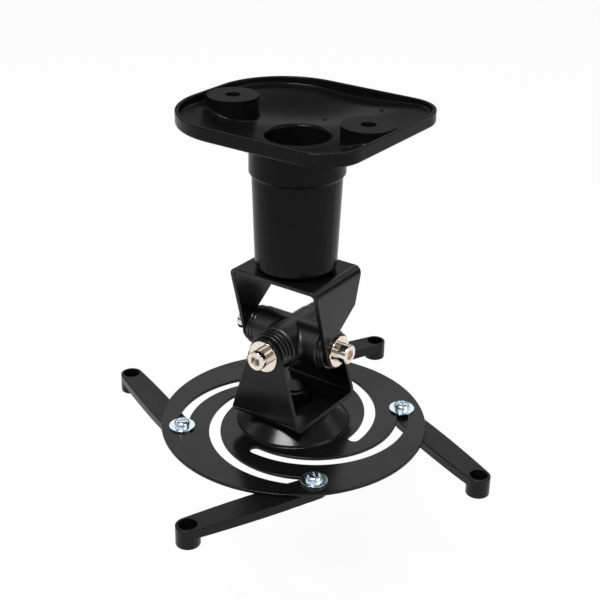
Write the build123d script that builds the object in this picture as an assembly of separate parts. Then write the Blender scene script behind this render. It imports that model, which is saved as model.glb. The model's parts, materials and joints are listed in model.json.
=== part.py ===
# Projector ceiling mount: a cast ceiling plate and column, a cross joint between
# two bent steel yokes, and a slotted disc that carries four swinging arms.
# Millimetres, +Z up. The origin is on the column's axis in the ceiling plane,
# and +X runs along the two ceiling screw bosses.

import os
from math import asin, atan2, cos, degrees, hypot, radians, sin

from build123d import *

# Ceiling plate, a shallow tray that opens towards the ceiling
PLATE_LENGTH = 132.0
PLATE_DEPTH = 122.0
ROUND_END_RADIUS = 47.0
SQUARE_END_RADIUS = 24.0
RIM_HEIGHT = 8.0
RIM_WALL = 2.4
RIM_EDGE = 1.5
TRAY_ROUND = 1.6
RIM_TOP_EDGE = 0.6
FLOOR_WALL = 2.0
FLOOR_DROP_AT_HOLE = 15.4
FLOOR_DROP_AT_BOSS = 11.4
FLOOR_DROP_AT_SIDE = 5.8
FLOOR_DROP_AT_CORNER = 3.4
BOSS_INSET = 18.75
BOSS_RADIUS = 15.6
BOSS_WEB_WIDTH = 16.0
BOSS_WEB_DROP = 1.0
CEILING_HOLE_RADIUS = 4.5
SCREW_SEAT_RADIUS = 9.5

# Column, cast in one piece with the plate
CABLE_RADIUS = 19.0
CABLE_EDGE = 1.8
COLLAR_RADIUS = 28.7
COLLAR_BOTTOM = 37.0
COLLAR_CHAMFER = 2.0
COLUMN_TOP_RADIUS = 27.0
COLUMN_BOTTOM_RADIUS = 24.9
COLUMN_BOTTOM = 97.0
COLUMN_EDGE = 2.4
COLUMN_FLOOR = 6.5
CORE_BOTTOM_RADIUS = 18.0
PIVOT_BOSS_RADIUS = 16.0
PIVOT_BOSS_HEIGHT = 2.0

# Bent steel yokes: the upper one hangs from the column, the lower one carries the disc
SHEET = 3.0
YOKE_OUTSIDE = 64.0
SHEET_EDGE = 0.5
YOKE_BEND = 2.0
YOKE_REACH = 47.5
UPPER_WEB_DEPTH = 50.0
LOWER_WEB_DEPTH = 52.0
LEG_END_RADIUS = 11.2
NOTCH_START = 24.0

# Cross block and the friction rings at its four ends
CROSS_RADIUS = 13.2
CROSS_EDGE = 0.8
CROSS_ROUND = 2.4
RING_RADIUS = 12.5
RING_EDGE = 0.6
TILT_RINGS = 2
TILT_RING_THICKNESS = 2.4
ROLL_RINGS = 3
ROLL_RING_THICKNESS = 3.2

# Socket screws and plain washers that clamp the yokes to the cross
BOLT_RADIUS = 4.0
BOLT_LENGTH = 25.0
CAP_RADIUS = 6.1
CAP_HEIGHT = 7.4
CAP_EDGE = 0.7
HEX_SOCKET = 6.0
SOCKET_DEPTH = 4.0
YOKE_WASHER_RADIUS = 10.0
YOKE_WASHER_THICKNESS = 1.5

# Bolts, washers and nuts of the two swivels
PIVOT_RADIUS = 6.0
HEX_WIDTH = 19.0
HEX_HEAD_HEIGHT = 6.4
HEX_CORNER_SLOPE = 0.58
NUT_HEIGHT = 6.0
PIVOT_WASHER_RADIUS = 12.0
PIVOT_WASHER_THICKNESS = 2.0
BOLT_END = 0.8

# Slotted disc, pressed up into a dome in the middle
DISC_RADIUS = 84.5
DISC_SHEET = 2.0
DISC_EDGE = 0.5
DOME_HEIGHT = 11.7
DOME_STEP = 1.5
DOME_STEP_RUN = 0.6
DOME_STEP_ROUND = 0.5
DOME_FOOT_RADIUS = 36.0
DOME_TOP_RADIUS = 24.0
DOME_ROUND = 7.0
ARM_COUNT = 4
SCREW_CIRCLE = 71.5
SCREW_ANGLE = 45.0
SLOT_CENTRE_OFFSET = 15.0
SLOT_CENTRE_LEAD = 25.0
SLOT_SWEEP = 131.0
SLOT_WIDTH = 7.0

# Arms, their clamp screws and washers
ARM_LENGTH = 82.0
ARM_ANGLE = -25.0
ARM_ROOT_RADIUS = 7.9
ARM_BELLY = 8.6
ARM_TIP_RADIUS = 7.2
ARM_THICKNESS = 6.0
ARM_EDGE = 0.6
FOOT_HEIGHT = 12.6
FOOT_BORE_RADIUS = 5.5
FOOT_BORE_DEPTH = 7.0
FOOT_HOLE_RADIUS = 2.8
CLAMP_RADIUS = 2.5
CLAMP_HEAD_RADIUS = 5.0
CLAMP_HEAD_HEIGHT = 3.4
CLAMP_END = 1.6
CLAMP_WASHER_RADIUS = 8.2
CLAMP_WASHER_THICKNESS = 1.4
RECESS_WIDTH = 1.1
RECESS_LENGTH = 5.2
RECESS_DEPTH = 2.0

# Fits
BOLT_CLEARANCE = 0.08
WASHER_CLEARANCE = 0.25
THREAD_CLEARANCE = 0.05

# Places and levels below the ceiling plane that follow from the sizes above
BOSS_SPACING = PLATE_LENGTH - 2 * BOSS_INSET
PIVOT_Z = -COLUMN_BOTTOM - PIVOT_BOSS_HEIGHT
JOINT_Z = PIVOT_Z - YOKE_REACH
DOME_Z = JOINT_Z - YOKE_REACH
DISC_Z = DOME_Z - DOME_HEIGHT
ARM_Z = DISC_Z - DISC_SHEET
LEG_OUTER = YOKE_OUTSIDE / 2
LEG_INNER = LEG_OUTER - SHEET
TILT_REACH = LEG_INNER - TILT_RINGS * TILT_RING_THICKNESS
ROLL_REACH = LEG_INNER - ROLL_RINGS * ROLL_RING_THICKNESS
SLIP_RADIUS = BOLT_RADIUS + BOLT_CLEARANCE
PIVOT_SLIP_RADIUS = PIVOT_RADIUS + BOLT_CLEARANCE


def polar(radius, angle):
    return radius * cos(radians(angle)), radius * sin(radians(angle))


def cylinder(radius, top, bottom):
    # An upright cylinder between two levels
    return Pos(0, 0, bottom) * extrude(Circle(radius), top - bottom)


def turned(*points):
    # A solid turned about Z from a closed outline of (radius, level) points
    outline = make_face(Plane.XZ * Polyline(*points, close=True))
    return revolve(outline, Axis.Z)


def plate_outline(inset):
    # Big radii at the -X end, small ones at the +X end
    half_length = PLATE_LENGTH / 2 - inset
    outline = Rectangle(2 * half_length, PLATE_DEPTH - 2 * inset)
    round_end = outline.vertices().filter_by(lambda v: v.X < 0)
    outline = fillet(round_end, ROUND_END_RADIUS - inset)
    square_end = outline.vertices().filter_by(lambda v: v.X > half_length - 0.01)
    return fillet(square_end, SQUARE_END_RADIUS - inset)


def above_floor(thickness, ceiling):
    # The space over the dished floor, or over its underside with the floor's thickness
    corner = hypot(PLATE_LENGTH / 2, PLATE_DEPTH / 2)
    inner = (CABLE_RADIUS, -FLOOR_DROP_AT_HOLE - thickness)
    at_boss = ((CABLE_RADIUS + PLATE_DEPTH / 2) / 2, -FLOOR_DROP_AT_BOSS - thickness)
    at_side = (PLATE_DEPTH / 2, -FLOOR_DROP_AT_SIDE - thickness)
    outer = (corner, -FLOOR_DROP_AT_CORNER - thickness)
    dish = Spline(inner, at_boss, at_side, outer)
    walls = Polyline(outer, (corner, ceiling), (0, ceiling), (0, inner[1]), inner)
    return revolve(Plane.XZ * make_face(dish + walls), Axis.Z)


def tray_room(deep):
    # The hollow of the tray, which leaves the two bosses and their webs to the rim standing
    room = Pos(0, 0, -deep) * extrude(plate_outline(RIM_WALL), 2 * deep)
    room &= above_floor(0, deep)
    web_length = BOSS_INSET - RIM_WALL / 2
    web = Pos(web_length / 2, 0, -deep / 2 - BOSS_WEB_DROP) * Box(web_length, BOSS_WEB_WIDTH, deep)
    boss = cylinder(BOSS_RADIUS, 0, -deep) + web
    for turn in (0, 180):
        room -= Rot(0, 0, turn) * Pos(BOSS_SPACING / 2, 0, 0) * boss
    upright = room.faces().filter_by(lambda face: abs(face.normal_at().Z) < 0.01)
    dish = room.faces().filter_by(GeomType.REVOLUTION)
    return fillet(dish.edges() & upright.edges(), TRAY_ROUND)


def on_boss(edge):
    return edge.geom_type == GeomType.CIRCLE and abs(edge.radius - BOSS_RADIUS) < 0.01


def ceiling_column():
    deep = 2 * FLOOR_DROP_AT_HOLE
    over_underside = above_floor(FLOOR_WALL, 0)
    rim = Pos(0, 0, -RIM_HEIGHT) * extrude(plate_outline(0), RIM_HEIGHT)
    rim = fillet(rim.edges().group_by(Axis.Z)[0], RIM_EDGE)
    dish = Pos(0, 0, -deep) * extrude(plate_outline(RIM_WALL), deep)
    plate = rim + (dish & over_underside)
    plate -= tray_room(deep)
    rim_edges = plate.edges().group_by(Axis.Z)[-1].filter_by(lambda edge: not on_boss(edge))
    plate = fillet(rim_edges, RIM_TOP_EDGE)
    for side in (-1, 1):
        plate -= Pos(side * BOSS_SPACING / 2, 0, 0) * cylinder(SCREW_SEAT_RADIUS, -RIM_HEIGHT, -deep)

    column_top = -FLOOR_DROP_AT_HOLE - FLOOR_WALL / 2
    profile = make_face(
        Polyline(
            (0, column_top),
            (COLLAR_RADIUS, column_top),
            (COLLAR_RADIUS, -COLLAR_BOTTOM),
            (COLUMN_TOP_RADIUS, -COLLAR_BOTTOM - COLLAR_CHAMFER),
            (COLUMN_BOTTOM_RADIUS, -COLUMN_BOTTOM),
            (PIVOT_BOSS_RADIUS, -COLUMN_BOTTOM),
            (PIVOT_BOSS_RADIUS, PIVOT_Z),
            (0, PIVOT_Z),
            close=True,
        )
    )
    foot = profile.vertices().sort_by_distance((COLUMN_BOTTOM_RADIUS, -COLUMN_BOTTOM))[0]
    profile = fillet(foot, COLUMN_EDGE)
    casting = plate + revolve(Plane.XZ * profile, Axis.Z)

    casting -= turned(
        (0, deep),
        (CABLE_RADIUS, deep),
        (CABLE_RADIUS, -FLOOR_DROP_AT_HOLE),
        (CORE_BOTTOM_RADIUS, -COLUMN_BOTTOM + COLUMN_FLOOR),
        (0, -COLUMN_BOTTOM + COLUMN_FLOOR),
    )
    mouth = casting.edges().filter_by(GeomType.CIRCLE).sort_by_distance((0, 0, -FLOOR_DROP_AT_HOLE))
    mouth = mouth.filter_by(lambda e: abs(e.radius - CABLE_RADIUS) < 0.01)[0]
    casting = fillet(mouth, CABLE_EDGE)
    casting -= cylinder(PIVOT_SLIP_RADIUS, 0, PIVOT_Z)
    for side in (-1, 1):
        casting -= Pos(side * BOSS_SPACING / 2, 0, 0) * cylinder(CEILING_HOLE_RADIUS, deep, -deep)
    return casting


def tangent_point(corner, radius):
    # Where the line from a corner on the +Y side touches the leg's round end
    distance = hypot(*corner)
    angle = atan2(corner[1], corner[0]) - (radians(90) - asin(radius / distance))
    return radius * cos(angle), radius * sin(angle)


def leg_outline(web_depth, notched):
    # Side view of a leg, with the joint's axis at the origin and the web above it
    corner = (web_depth / 2, YOKE_REACH)
    touch = tangent_point(corner, LEG_END_RADIUS)
    slope = (corner[0] - touch[0]) / (corner[1] - touch[1])
    points = [(0, 0), (-touch[0], touch[1]), (-corner[0], corner[1]), corner]
    if notched:
        points.append((corner[0] - (YOKE_REACH - NOTCH_START) * slope, NOTCH_START))
        points.append((0, LEG_END_RADIUS))
    else:
        points.append(touch)
    return make_face(Polyline(*points, close=True)) + Circle(LEG_END_RADIUS)


def yoke(web_depth, notched):
    # A strip bent into a U that opens downwards, with its legs at both ends of X
    height = YOKE_REACH + LEG_END_RADIUS
    outside = Pos(0, -height / 2) * Rectangle(YOKE_OUTSIDE, height)
    outside = fillet(outside.vertices().group_by(Axis.Y)[-1], YOKE_BEND + SHEET)
    inside = Pos(0, -height / 2 - SHEET) * Rectangle(2 * LEG_INNER, height)
    inside = fillet(inside.vertices().group_by(Axis.Y)[-1], YOKE_BEND)
    strip = Plane.XZ * Pos(0, YOKE_REACH) * (outside - inside)
    strip = extrude(strip, web_depth / 2, both=True)
    legs = extrude(Plane.YZ * leg_outline(web_depth, notched), YOKE_OUTSIDE / 2, both=True)
    bent = strip & legs
    bent = fillet(bent.edges(), SHEET_EDGE)
    bent -= Rot(0, 90, 0) * cylinder(SLIP_RADIUS, YOKE_OUTSIDE, -YOKE_OUTSIDE)
    return bent - cylinder(PIVOT_SLIP_RADIUS, 2 * YOKE_REACH, 0)


def upper_yoke():
    return Pos(0, 0, JOINT_Z) * yoke(UPPER_WEB_DEPTH, True)


def lower_yoke():
    return Pos(0, 0, JOINT_Z) * Rot(0, 0, 90) * Rot(180, 0, 0) * yoke(LOWER_WEB_DEPTH, False)


def at_cross_end(turn):
    # The frame of one end of the cross: Z points out along that end
    return Pos(0, 0, JOINT_Z) * Rot(0, 0, turn) * Rot(0, 90, 0)


def cross_rod(reach):
    rod = cylinder(CROSS_RADIUS, reach, -reach)
    return chamfer(rod.edges().filter_by(GeomType.CIRCLE), CROSS_EDGE)


def cross_block():
    block = (at_cross_end(0) * cross_rod(TILT_REACH)) + (at_cross_end(90) * cross_rod(ROLL_REACH))
    block = fillet(block.edges().filter_by(GeomType.ELLIPSE), CROSS_ROUND)
    for turn, reach in ((0, TILT_REACH), (90, ROLL_REACH), (180, TILT_REACH), (270, ROLL_REACH)):
        thread = cylinder(BOLT_RADIUS + THREAD_CLEARANCE, reach, bolt_tip() - BOLT_END)
        block -= at_cross_end(turn) * thread
    return block


def friction_rings(turns, reach, count, thickness):
    ring = cylinder(RING_RADIUS, thickness, 0)
    ring = fillet(ring.edges().filter_by(GeomType.CIRCLE), RING_EDGE)
    ring -= cylinder(BOLT_RADIUS + WASHER_CLEARANCE, thickness, 0)
    rings = []
    for turn in turns:
        for index in range(count):
            rings.append(at_cross_end(turn) * Pos(0, 0, reach + index * thickness) * ring)
    return Compound(rings)


def bolt_tip():
    # Distance of a yoke screw's tip from the middle of the cross
    return LEG_OUTER + YOKE_WASHER_THICKNESS - BOLT_LENGTH


def washer(radius, thickness, hole_radius):
    return cylinder(radius, thickness, 0) - cylinder(hole_radius, thickness, 0)


def cap_screw():
    # Socket-head screw with its head's underside at level 0
    head = cylinder(CAP_RADIUS, CAP_HEIGHT, 0)
    head = fillet(head.edges().group_by(Axis.Z)[-1], CAP_EDGE)
    socket = RegularPolygon(HEX_SOCKET / 2, 6, major_radius=False)
    head -= Pos(0, 0, CAP_HEIGHT - SOCKET_DEPTH) * extrude(socket, SOCKET_DEPTH)
    return head + cylinder(BOLT_RADIUS, 0, -BOLT_LENGTH)


def yoke_screws(turns):
    seat = Pos(0, 0, LEG_OUTER + YOKE_WASHER_THICKNESS)
    return Compound([at_cross_end(turn) * seat * cap_screw() for turn in turns])


def yoke_washers(turns):
    ring = washer(YOKE_WASHER_RADIUS, YOKE_WASHER_THICKNESS, BOLT_RADIUS + WASHER_CLEARANCE)
    return Compound([at_cross_end(turn) * Pos(0, 0, LEG_OUTER) * ring for turn in turns])


def hexagon(height):
    # A hexagon whose upper corners are turned off, as on a bought bolt or nut
    across_corners = HEX_WIDTH / cos(radians(30))
    drop = (across_corners - HEX_WIDTH) / 2 * HEX_CORNER_SLOPE
    turned_off = turned(
        (0, 0),
        (across_corners / 2, 0),
        (across_corners / 2, height - drop),
        (HEX_WIDTH / 2, height),
        (0, height),
    )
    return extrude(RegularPolygon(HEX_WIDTH / 2, 6, major_radius=False), height) & turned_off


def hex_bolt(grip):
    # Hex bolt with its head on level 0 and its shank down through the grip, washer and nut
    shank = grip + PIVOT_WASHER_THICKNESS + NUT_HEIGHT + BOLT_END
    return hexagon(HEX_HEAD_HEIGHT) + cylinder(PIVOT_RADIUS, 0, -shank)


def hex_nut():
    return hexagon(NUT_HEIGHT) - cylinder(PIVOT_RADIUS + THREAD_CLEARANCE, NUT_HEIGHT, 0)


def pivot_washer():
    return washer(PIVOT_WASHER_RADIUS, PIVOT_WASHER_THICKNESS, PIVOT_RADIUS + WASHER_CLEARANCE)


def on_screw_circle(index):
    # The frame of one clamp screw: its axis, with X pointing away from the disc's axis
    turn = SCREW_ANGLE + index * 360 / ARM_COUNT
    return Rot(0, 0, turn) * Pos(SCREW_CIRCLE, 0, 0)


def slot_cut():
    # One slot with its outer end on the X axis, an arc about a point off the disc's axis
    centre = polar(SLOT_CENTRE_OFFSET, SLOT_CENTRE_LEAD)
    radius = hypot(SCREW_CIRCLE - centre[0], centre[1])
    start = degrees(atan2(-centre[1], SCREW_CIRCLE - centre[0]))
    path = CenterArc(centre, radius, start, -SLOT_SWEEP)
    return extrude(SlotArc(path, SLOT_WIDTH), 2 * DOME_HEIGHT, both=True)


def dome_profile(thickness):
    # Outline of the pressed sheet's upper side, moved down by the thickness
    points = (
        (0, DOME_HEIGHT - thickness),
        (DOME_TOP_RADIUS, DOME_HEIGHT - thickness),
        (DOME_FOOT_RADIUS - DOME_STEP_RUN, DOME_STEP - thickness),
        (DOME_FOOT_RADIUS, -thickness),
        (DISC_RADIUS, -thickness),
    )
    return points


def spider_disc():
    top = dome_profile(0)
    bottom = dome_profile(DISC_SHEET)
    profile = make_face(Polyline(*top, *reversed(bottom), close=True))
    for points in (top, bottom):
        radii = (DOME_ROUND, DOME_STEP_ROUND, DOME_STEP_ROUND, DISC_EDGE)
        for point, radius in zip(points[1:], radii):
            vertex = profile.vertices().sort_by_distance(point)[0]
            profile = fillet(vertex, radius)
    disc = revolve(Plane.XZ * profile, Axis.Z)
    disc -= cylinder(PIVOT_SLIP_RADIUS, 2 * DOME_HEIGHT, 0)
    for index in range(ARM_COUNT):
        disc -= Rot(0, 0, SCREW_ANGLE + index * 360 / ARM_COUNT) * slot_cut()
    arcs = disc.edges().filter_by(GeomType.CIRCLE)
    slot_edges = arcs.filter_by(lambda arc: hypot(arc.arc_center.X, arc.arc_center.Y) > 0.01)
    return Pos(0, 0, DISC_Z) * fillet(slot_edges, DISC_EDGE)


def arm_outline():
    # Seen from above, with the clamp screw at the origin and the foot along X
    root = (0, ARM_ROOT_RADIUS)
    belly = (ARM_LENGTH / 2, ARM_BELLY)
    tip = (ARM_LENGTH, ARM_TIP_RADIUS)
    half = make_face(ThreePointArc(root, belly, tip) + Polyline(tip, (ARM_LENGTH, 0), (0, 0), root))
    ends = Circle(ARM_ROOT_RADIUS) + Pos(ARM_LENGTH, 0) * Circle(ARM_TIP_RADIUS)
    return half + mirror(half, Plane.XZ) + ends


def arm(index):
    at_tip = Pos(ARM_LENGTH, 0, 0)
    bar = extrude(arm_outline(), -ARM_THICKNESS)
    bar = fillet(bar.edges().group_by(Axis.Z)[0], ARM_EDGE)
    solid = bar + at_tip * cylinder(ARM_TIP_RADIUS, 0, -FOOT_HEIGHT)
    solid = fillet(solid.edges().group_by(Axis.Z)[-1], ARM_EDGE)
    solid = fillet(solid.edges().group_by(Axis.Z)[0], ARM_EDGE)
    solid -= cylinder(CLAMP_RADIUS + BOLT_CLEARANCE, 0, -ARM_THICKNESS)
    solid -= at_tip * cylinder(FOOT_BORE_RADIUS, 0, -FOOT_BORE_DEPTH)
    solid -= at_tip * cylinder(FOOT_HOLE_RADIUS, 0, -FOOT_HEIGHT)
    swing = Rot(0, 0, ARM_ANGLE - SCREW_ANGLE)
    return Pos(0, 0, ARM_Z) * on_screw_circle(index) * swing * solid


def clamp_screw(index):
    # Pan head with a cross recess, threaded shank through the slot into the arm
    head = cylinder(CLAMP_HEAD_RADIUS, CLAMP_HEAD_HEIGHT, 0)
    head = fillet(head.edges().group_by(Axis.Z)[-1], CLAMP_HEAD_HEIGHT * 0.7)
    blade = Pos(0, 0, CLAMP_HEAD_HEIGHT - RECESS_DEPTH / 2) * Box(RECESS_LENGTH, RECESS_WIDTH, RECESS_DEPTH)
    head -= blade
    head -= Rot(0, 0, 90) * blade
    shank = CLAMP_WASHER_THICKNESS + DISC_SHEET + ARM_THICKNESS + CLAMP_END
    screw = head + cylinder(CLAMP_RADIUS, 0, -shank)
    return Pos(0, 0, DISC_Z + CLAMP_WASHER_THICKNESS) * on_screw_circle(index) * screw


def clamp_washer(index):
    ring = washer(CLAMP_WASHER_RADIUS, CLAMP_WASHER_THICKNESS, CLAMP_RADIUS + WASHER_CLEARANCE)
    return Pos(0, 0, DISC_Z) * on_screw_circle(index) * ring


def main():
    tilt_ends = (0, 180)
    roll_ends = (90, 270)
    column_seat = -COLUMN_BOTTOM + COLUMN_FLOOR
    web_underside = PIVOT_Z - SHEET
    web_top = DOME_Z + SHEET
    dome_underside = DOME_Z - DISC_SHEET
    parts = {
        "ceiling_column": ceiling_column(),
        "swivel_bolt": Pos(0, 0, column_seat) * hex_bolt(column_seat - web_underside),
        "swivel_washer": Pos(0, 0, web_underside - PIVOT_WASHER_THICKNESS) * pivot_washer(),
        "swivel_nut": Pos(0, 0, web_underside - PIVOT_WASHER_THICKNESS - NUT_HEIGHT) * hex_nut(),
        "upper_yoke": upper_yoke(),
        "cross_block": cross_block(),
        "tilt_friction_rings": friction_rings(tilt_ends, TILT_REACH, TILT_RINGS, TILT_RING_THICKNESS),
        "roll_friction_rings": friction_rings(roll_ends, ROLL_REACH, ROLL_RINGS, ROLL_RING_THICKNESS),
        "tilt_screws": yoke_screws(tilt_ends),
        "roll_screws": yoke_screws(roll_ends),
        "tilt_washers": yoke_washers(tilt_ends),
        "roll_washers": yoke_washers(roll_ends),
        "lower_yoke": lower_yoke(),
        "pan_bolt": Pos(0, 0, dome_underside) * Rot(180, 0, 0) * hex_bolt(web_top - dome_underside),
        "pan_washer": Pos(0, 0, web_top) * pivot_washer(),
        "pan_nut": Pos(0, 0, web_top + PIVOT_WASHER_THICKNESS) * hex_nut(),
        "spider_disc": spider_disc(),
    }
    for index in range(ARM_COUNT):
        parts[f"arm_{index + 1}"] = arm(index)
        parts[f"clamp_screw_{index + 1}"] = clamp_screw(index)
        parts[f"clamp_washer_{index + 1}"] = clamp_washer(index)

    os.makedirs("parts", exist_ok=True)
    for name, shape in parts.items():
        export_step(shape, f"parts/{name}.step")


main()
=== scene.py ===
import json
import math

import bmesh
import bpy
from mathutils import Matrix, Vector


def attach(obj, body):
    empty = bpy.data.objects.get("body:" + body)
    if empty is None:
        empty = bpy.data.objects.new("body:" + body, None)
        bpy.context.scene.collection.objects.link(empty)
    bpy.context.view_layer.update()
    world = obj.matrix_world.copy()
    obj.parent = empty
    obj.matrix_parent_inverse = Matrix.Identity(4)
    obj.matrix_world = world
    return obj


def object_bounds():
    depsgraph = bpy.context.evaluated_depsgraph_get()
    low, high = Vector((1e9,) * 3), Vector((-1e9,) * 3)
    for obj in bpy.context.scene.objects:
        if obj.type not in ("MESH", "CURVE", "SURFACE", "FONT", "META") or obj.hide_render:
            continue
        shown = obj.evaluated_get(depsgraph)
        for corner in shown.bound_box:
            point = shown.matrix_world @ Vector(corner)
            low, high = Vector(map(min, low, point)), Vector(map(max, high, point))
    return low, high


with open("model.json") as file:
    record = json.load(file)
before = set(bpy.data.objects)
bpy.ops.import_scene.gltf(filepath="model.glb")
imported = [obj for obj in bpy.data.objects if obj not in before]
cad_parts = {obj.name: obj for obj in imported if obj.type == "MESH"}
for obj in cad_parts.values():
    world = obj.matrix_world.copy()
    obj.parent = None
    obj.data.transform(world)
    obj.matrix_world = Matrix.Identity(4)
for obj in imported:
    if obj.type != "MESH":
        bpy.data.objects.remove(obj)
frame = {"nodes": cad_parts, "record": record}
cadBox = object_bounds()
nodes = frame["nodes"]
mm = 0.001
print("frame loaded:", len(nodes), "nodes")


# hex sRGB, as picked from a swatch, to the opaque linear colour that the shader works in
def linear(hexCode):
    channels = [int(hexCode[i:i + 2], 16) / 255 for i in (1, 3, 5)]
    return [c / 12.92 if c <= 0.04045 else ((c + 0.055) / 1.055) ** 2.4 for c in channels] + [1.0]


# adds one node, sets its inputs and properties, and links inputs to other nodes' outputs
def addNode(tree, kind, inputs=None, links=None, **properties):
    node = tree.nodes.new(kind)
    for name, value in properties.items():
        setattr(node, name, value)
    for name, value in (inputs or {}).items():
        node.inputs[name].default_value = value
    for name, (source, output) in (links or {}).items():
        tree.links.new(source.outputs[output], node.inputs[name])
    return node


def newMaterial(name):
    material = bpy.data.materials.new(name)
    material.use_nodes = True
    material.node_tree.nodes.clear()
    return material, material.node_tree


# the scale at which a noise has features of about this size
def perMetre(sizeMm):
    return 1000 / sizeMm


# octaves in each pattern, the span in which most of a noise lies, and the spans over which colours change
noiseDetail = {"peel": 2.0, "grit": 1.0, "marks": 2.0, "cloud": 3.0, "haze": 4.0}
noiseSpan = (0.3, 0.7)
toneSpan = {"cloud": (0.3, 0.7), "haze": (0.35, 0.65)}


# a slow noise takes the colour from dark to light, and the roughness along with it
def cloudyTone(tree, place, look, pattern):
    noise = addNode(tree, "ShaderNodeTexNoise",
                    {"Scale": perMetre(look[pattern + "Mm"]), "Detail": noiseDetail[pattern]},
                    {"Vector": (place, "Object")})
    tone = addNode(tree, "ShaderNodeValToRGB", links={"Fac": (noise, "Fac")})
    colours = (look["dark"], look["light"])
    for stop, position, colour in zip(tone.color_ramp.elements, toneSpan[pattern], colours):
        stop.position = position
        stop.color = linear(colour)
    gloss = addNode(tree, "ShaderNodeMapRange",
                    {"From Min": noiseSpan[0], "From Max": noiseSpan[1],
                     "To Min": look["roughness"][0], "To Max": look["roughness"][1]},
                    {"Value": (noise, "Fac")})
    return (tone, "Color"), (gloss, "Result")


# one layer of fine relief, laid over the layer under it where there is one
def relief(tree, place, look, pattern, under=None):
    noise = addNode(tree, "ShaderNodeTexNoise",
                    {"Scale": perMetre(look[pattern + "Mm"]), "Detail": noiseDetail[pattern]},
                    {"Vector": (place, "Object")})
    links = {"Height": (noise, "Fac")}
    if under:
        links["Normal"] = under
    bump = addNode(tree, "ShaderNodeBump",
                   {"Strength": look[pattern + "Strength"], "Distance": look[pattern + "DepthMm"] * mm},
                   links)
    return bump, "Normal"


# black coats and nylon: a dark skin with a soft shine, a faint orange peel and fine grit in it; the coats
# have a film of clear resin on top, which floats up in baking and glints on tight curves
def blackSkin(name, look):
    material, tree = newMaterial(name)
    place = addNode(tree, "ShaderNodeTexCoord")
    tone, gloss = cloudyTone(tree, place, look, "cloud")
    peel = relief(tree, place, look, "peel")
    grit = relief(tree, place, look, "grit", peel)
    skin = addNode(tree, "ShaderNodeBsdfPrincipled",
                   {"IOR": look["ior"], "Coat Weight": look["resin"],
                    "Coat Roughness": look["resinRoughness"]},
                   {"Base Color": tone, "Roughness": gloss, "Normal": grit})
    addNode(tree, "ShaderNodeOutputMaterial", links={"Surface": (skin, "BSDF")})
    return material


# plated and blackened steel: a thin metal skin on turned or pressed steel, with fine tool marks and a haze
# from handling
def metalSkin(name, look):
    material, tree = newMaterial(name)
    place = addNode(tree, "ShaderNodeTexCoord")
    tone, gloss = cloudyTone(tree, place, look, "haze")
    marks = relief(tree, place, look, "marks")
    skin = addNode(tree, "ShaderNodeBsdfPrincipled", {"Metallic": 1.0},
                   {"Base Color": tone, "Roughness": gloss, "Normal": marks})
    addNode(tree, "ShaderNodeOutputMaterial", links={"Surface": (skin, "BSDF")})
    return material


# the carbon black that colours powder, enamel and nylon alike
carbonBlack = {"dark": "#0a0a0b", "light": "#0d0d0e"}
# polyester powder, sprayed on a die-casting and baked: dull satin, a little grainier than on sheet
castCoat = blackSkin("powderCoatedCasting", {
    **carbonBlack, "roughness": (0.24, 0.3), "ior": 1.13, "resin": 0.09, "resinRoughness": 0.13,
    "peelMm": 1.6, "peelStrength": 0.25, "peelDepthMm": 0.05,  # drawn coarser than real peel, to show
    "gritMm": 0.35, "gritStrength": 0.12, "gritDepthMm": 0.02, "cloudMm": 22})
# the same powder on flat steel: smoother, so flat faces shine softly at a low angle
sheetCoat = blackSkin("powderCoatedSheetSteel", {
    **carbonBlack, "roughness": (0.2, 0.25), "ior": 1.28, "resin": 0.07, "resinRoughness": 0.12,
    "peelMm": 2.2, "peelStrength": 0.2, "peelDepthMm": 0.05,
    "gritMm": 0.35, "gritStrength": 0.08, "gritDepthMm": 0.02, "cloudMm": 30})
# the powder on the arms' castings: a finer, fainter grain and a little more shine than on the plate
armCoat = blackSkin("powderCoatedArm", {
    **carbonBlack, "roughness": (0.25, 0.31), "ior": 1.25, "resin": 0.06, "resinRoughness": 0.14,
    "peelMm": 1.4, "peelStrength": 0.2, "peelDepthMm": 0.05,
    "gritMm": 0.3, "gritStrength": 0.1, "gritDepthMm": 0.02, "cloudMm": 18})
# thin enamel on the machined cross: semi-gloss, with long soft highlights
crossCoat = blackSkin("blackEnamelledCross", {
    **carbonBlack, "roughness": (0.33, 0.4), "ior": 1.48, "resin": 0.05, "resinRoughness": 0.14,
    "peelMm": 1.2, "peelStrength": 0.15, "peelDepthMm": 0.04,
    "gritMm": 0.3, "gritStrength": 0.06, "gritDepthMm": 0.02, "cloudMm": 14})
# moulded nylon with a polished tool's shine, which shows on the rings' rounded rims
ringNylon = blackSkin("mouldedBlackNylon", {
    **carbonBlack, "roughness": (0.2, 0.28), "ior": 1.5, "resin": 0.0, "resinRoughness": 0.1,
    "peelMm": 0.8, "peelStrength": 0.1, "peelDepthMm": 0.03,
    "gritMm": 0.25, "gritStrength": 0.05, "gritDepthMm": 0.02, "cloudMm": 9})
# bright nickel over turned steel: a warm mirror with a little haze
nickel = metalSkin("nickelPlatedSteel", {
    "dark": "#ddd2c6", "light": "#efe7dc", "roughness": (0.06, 0.11),
    "hazeMm": 3.0, "marksMm": 0.5, "marksStrength": 0.06, "marksDepthMm": 0.01})
# clear-passivated zinc: bright with a blue cast and a softer shine
zinc = metalSkin("zincPlatedSteel", {
    "dark": "#c3d3de", "light": "#e2edf4", "roughness": (0.13, 0.22),
    "hazeMm": 2.0, "marksMm": 0.4, "marksStrength": 0.08, "marksDepthMm": 0.01})
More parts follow.
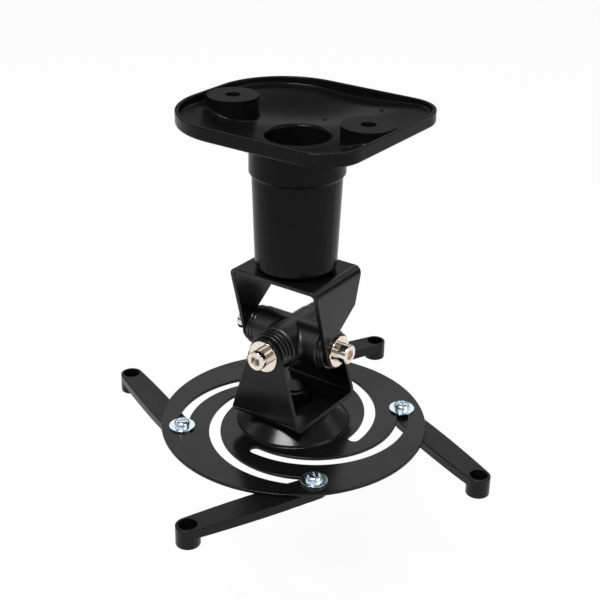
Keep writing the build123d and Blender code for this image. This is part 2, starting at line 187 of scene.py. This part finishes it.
# oiled black oxide: nearly black steel that still glints on its edges
blackOxide = metalSkin("blackOxideSteel", {
    "dark": "#161617", "light": "#1e1e20", "roughness": (0.2, 0.28),
    "hazeMm": 2.5, "marksMm": 0.4, "marksStrength": 0.1, "marksDepthMm": 0.01})
finishes = {"cast_black": castCoat, "sheet_black": sheetCoat, "cross_black": crossCoat,
            "ring_black": ringNylon, "nickel_steel": nickel, "zinc_steel": zinc, "black_steel": blackOxide}
for part in frame["record"]["subparts"]:
    for slot in nodes[part["node"]].material_slots:
        slot.material = armCoat if part["node"].startswith("arm_") else finishes[part["material_slot"]]
print("materials:", len(bpy.data.materials))

# punched washers are tumbled before plating, so their edges are rounded and catch a thin line of light;
# the two black ones are left as they are
washerEdges = {"radiusMm": 0.25, "segments": 3, "sharperThan": 50, "joinWithinMm": 0.0005,
               "left": ("swivel_washer", "pan_washer")}
washerNames = [name for name in nodes if "washer" in name and name not in washerEdges["left"]]
for name in washerNames:
    join = nodes[name].modifiers.new("joinFaces", "WELD")
    join.merge_threshold = washerEdges["joinWithinMm"] * mm
    bevel = nodes[name].modifiers.new("tumbledEdge", "BEVEL")
    bevel.width = washerEdges["radiusMm"] * mm
    bevel.segments = washerEdges["segments"]
    bevel.limit_method = "ANGLE"
    bevel.angle_limit = math.radians(washerEdges["sharperThan"])
    bevel.use_clamp_overlap = False
    shade = nodes[name].modifiers.new("faceShading", "WEIGHTED_NORMAL")
    shade.keep_sharp = False
print("rounded washers:", len(washerNames))


def addToScene(name, data):
    thing = bpy.data.objects.new(name, data)
    bpy.context.scene.collection.objects.link(thing)
    return thing


def objectFromBmesh(name, shape, material):
    mesh = bpy.data.meshes.new(name)
    shape.to_mesh(mesh)
    shape.free()
    mesh.materials.append(material)
    return addToScene(name, mesh)


def pieceFromBmesh(name, shape, material, body):
    piece = objectFromBmesh(name, shape, material)
    for face in piece.data.polygons:
        face.use_smooth = True
    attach(piece, body)


# the ejector pins of the die left small round pips on the tray floor
trayPips = {"spotsMm": ((26.8, 48.0, -7.3), (-1.4, 29.9, -13.8), (-60.6, -11.6, -5.7)),
            "radiusMm": 1.7, "heightMm": 0.4, "sides": 28, "rings": 14}
pips = bmesh.new()
flatten = Matrix.Diagonal((1, 1, trayPips["heightMm"] / trayPips["radiusMm"], 1))
for spot in trayPips["spotsMm"]:
    bmesh.ops.create_uvsphere(pips, u_segments=trayPips["sides"], v_segments=trayPips["rings"],
                              radius=trayPips["radiusMm"] * mm,
                              matrix=Matrix.Translation(Vector(spot) * mm) @ flatten)
pieceFromBmesh("trayPips", pips, castCoat, "ceiling")
print("tray pips:", len(trayPips["spotsMm"]))

# a rolled thread shows on each clamp screw's end, past the arm; its ridge is sunk a little into the shank,
# and its half width is given in pitches
clampThread = {"radiusMm": 2.5, "ridgeMm": 0.18, "sunkMm": 0.1, "halfWidth": 0.36, "pitchMm": 0.8,
               "spanMm": (-214.9, -214.1), "stepsPerTurn": 40}
clampSpots = {"count": 4, "circleMm": 71.5, "firstAngle": 45}


def threadRidge(thread, centre):
    shape = bmesh.new()
    bottom, top = thread["spanMm"]
    perTurn = thread["stepsPerTurn"]
    profile = ((-thread["sunkMm"], -thread["halfWidth"]),
               (thread["ridgeMm"], 0.0),
               (-thread["sunkMm"], thread["halfWidth"]))
    rows = []
    for step in range(int((top - bottom) / thread["pitchMm"] * perTurn) + 1):
        angle = 2 * math.pi * step / perTurn
        row = []
        for out, up in profile:
            radius = thread["radiusMm"] + out
            corner = Vector((centre[0] + radius * math.cos(angle),
                             centre[1] + radius * math.sin(angle),
                             bottom + (step / perTurn + up) * thread["pitchMm"]))
            row.append(shape.verts.new(corner * mm))
        rows.append(row)
    corners = len(profile)
    for row, after in zip(rows, rows[1:]):
        for i in range(corners):
            j = (i + 1) % corners
            shape.faces.new((row[i], after[i], after[j], row[j]))
    shape.faces.new(rows[0])
    shape.faces.new(rows[-1])
    bmesh.ops.recalc_face_normals(shape, faces=shape.faces)
    return shape


for k in range(1, clampSpots["count"] + 1):
    turnedBy = math.radians(clampSpots["firstAngle"] + 360 / clampSpots["count"] * (k - 1))
    spot = (clampSpots["circleMm"] * math.cos(turnedBy), clampSpots["circleMm"] * math.sin(turnedBy))
    pieceFromBmesh(f"clampThread{k}", threadRidge(clampThread, spot), zinc, f"clamp_{k}")
print("threads:", clampSpots["count"])

# stage: the mount hangs over a pale floor, which is low enough for the disc to tilt freely, takes the
# mount's shadow and is see-through from below
stageLook = {"floorHex": "#fafafa", "floorSizeM": 12.0, "floorDropMm": 130, "floorLift": 0.93,
             "worldHex": "#ffffff", "fillLight": 0.5, "roomStrength": 1.45}
floorMaterial, floorTree = newMaterial("paleStudioFloor")
floorRays = addNode(floorTree, "ShaderNodeLightPath")
floorSeen = addNode(floorTree, "ShaderNodeMath", operation="MAXIMUM",
                    links={0: (floorRays, "Is Camera Ray"), 1: (floorRays, "Is Glossy Ray")})
floorShown = addNode(floorTree, "ShaderNodeMath", operation="MAXIMUM",
                     links={0: (floorSeen, "Value"), 1: (floorRays, "Is Transmission Ray")})
floorLift = addNode(floorTree, "ShaderNodeMath", {1: stageLook["floorLift"]}, {0: (floorShown, "Value")},
                    operation="MULTIPLY")
floorSkin = addNode(floorTree, "ShaderNodeBsdfDiffuse", {"Color": linear(stageLook["floorHex"])})
floorGlow = addNode(floorTree, "ShaderNodeEmission",
                    {"Color": linear(stageLook["worldHex"]), "Strength": 1.0})
floorTop = addNode(floorTree, "ShaderNodeMixShader",
                   links={0: (floorLift, "Value"), 1: (floorSkin, "BSDF"), 2: (floorGlow, "Emission")})
floorSide = addNode(floorTree, "ShaderNodeNewGeometry")
floorBack = addNode(floorTree, "ShaderNodeBsdfTransparent")
floorAll = addNode(floorTree, "ShaderNodeMixShader",
                   links={0: (floorSide, "Backfacing"), 1: (floorTop, "Shader"), 2: (floorBack, "BSDF")})
addNode(floorTree, "ShaderNodeOutputMaterial", links={"Surface": (floorAll, "Shader")})
floorShape = bmesh.new()
floorLevel = cadBox[0][2] - stageLook["floorDropMm"] * mm
bmesh.ops.create_grid(floorShape, x_segments=1, y_segments=1, size=stageLook["floorSizeM"] / 2,
                      matrix=Matrix.Translation((0, 0, floorLevel)))
studioFloor = objectFromBmesh("studioFloor", floorShape, floorMaterial)

# dim walls and ceiling with a bright band of screens between them, as in a small photo studio:
# (sine of the angle above the horizon, brightness)
roomLight = ((0.0, 0.12), (0.28, 0.2), (0.44, 0.12), (0.49, 1.0),
             (0.58, 1.0), (0.66, 0.16), (0.78, 0.1), (1.0, 0.4))
world = bpy.data.worlds.new("paleStudio")
bpy.context.scene.world = world
world.use_nodes = True
worldTree = world.node_tree
worldTree.nodes.clear()
rayKind = addNode(worldTree, "ShaderNodeLightPath")
mirrored = addNode(worldTree, "ShaderNodeMath", operation="MAXIMUM",
                   links={0: (rayKind, "Is Glossy Ray"), 1: (rayKind, "Is Transmission Ray")})
direction = addNode(worldTree, "ShaderNodeTexCoord")
height = addNode(worldTree, "ShaderNodeSeparateXYZ", links={"Vector": (direction, "Generated")})
room = addNode(worldTree, "ShaderNodeValToRGB", links={"Fac": (height, "Z")})
while len(room.color_ramp.elements) < len(roomLight):
    room.color_ramp.elements.new(1.0)
for stop, (sine, light) in zip(room.color_ramp.elements, roomLight):
    stop.position = sine
    stop.color = (light, light, light, 1.0)
# an even fill lights the surfaces, mirrored rays meet the room, and the camera sees plain white
fill = addNode(worldTree, "ShaderNodeBackground",
               {"Color": linear(stageLook["worldHex"]), "Strength": stageLook["fillLight"]})
walls = addNode(worldTree, "ShaderNodeBackground", {"Strength": stageLook["roomStrength"]},
                {"Color": (room, "Color")})
white = addNode(worldTree, "ShaderNodeBackground", {"Color": linear(stageLook["worldHex"]), "Strength": 1.0})
lit = addNode(worldTree, "ShaderNodeMixShader",
              links={0: (mirrored, "Value"), 1: (fill, "Background"), 2: (walls, "Background")})
seen = addNode(worldTree, "ShaderNodeMixShader",
               links={0: (rayKind, "Is Camera Ray"), 1: (lit, "Shader"), 2: (white, "Background")})
addNode(worldTree, "ShaderNodeOutputWorld", links={"Surface": (seen, "Shader")})

# two soft oval lamps, aimed at the middle of the mount; the top one makes the highlight on the dome
lamps = {
    "softboxTop": {"placeM": (0.07, -0.61, 0.95), "sizeM": (0.7, 0.24), "watts": 15},
    "softboxRight": {"placeM": (1.3, 0.1, 0.35), "sizeM": (1.2, 1.2), "watts": 6},
}
lampAim = Vector((0, 0, -110)) * mm
for name, lamp in lamps.items():
    light = bpy.data.lights.new(name, "AREA")
    light.shape = "ELLIPSE"
    light.size, light.size_y = lamp["sizeM"]
    light.energy = lamp["watts"]
    holder = addToScene(name, light)
    holder.location = lamp["placeM"]
    holder.rotation_euler = (lampAim - Vector(lamp["placeM"])).to_track_quat("-Z", "Y").to_euler()

# camera: solved from the edges of the photograph, at its azimuth, height and distance
view = {"azimuth": 34.81, "elevation": 24.92, "roll": 0.92, "distanceM": 0.7363, "targetMm": (0, 0, -105),
        "lensMm": 72.73, "sensorMm": 36.0, "shift": (0.00708, -0.04063), "nearestM": 0.01}
azimuth = math.radians(view["azimuth"])
elevation = math.radians(view["elevation"])
outward = Vector((math.sin(azimuth) * math.cos(elevation),
                  -math.cos(azimuth) * math.cos(elevation),
                  math.sin(elevation)))
cameraData = bpy.data.cameras.new("photoCamera")
cameraData.sensor_fit = "HORIZONTAL"
cameraData.sensor_width = view["sensorMm"]
cameraData.lens = view["lensMm"]
cameraData.shift_x, cameraData.shift_y = view["shift"]
cameraData.clip_start = view["nearestM"]
camera = addToScene("photoCamera", cameraData)
facing = outward.to_track_quat("Z", "Y").to_matrix().to_4x4()
turn = facing @ Matrix.Rotation(math.radians(view["roll"]), 4, "Z")
camera.matrix_world = Matrix.Translation(Vector(view["targetMm"]) * mm + outward * view["distanceM"]) @ turn
bpy.context.scene.camera = camera
bpy.context.scene.view_settings.view_transform = "Standard"
print("stage, lamps and camera ready")
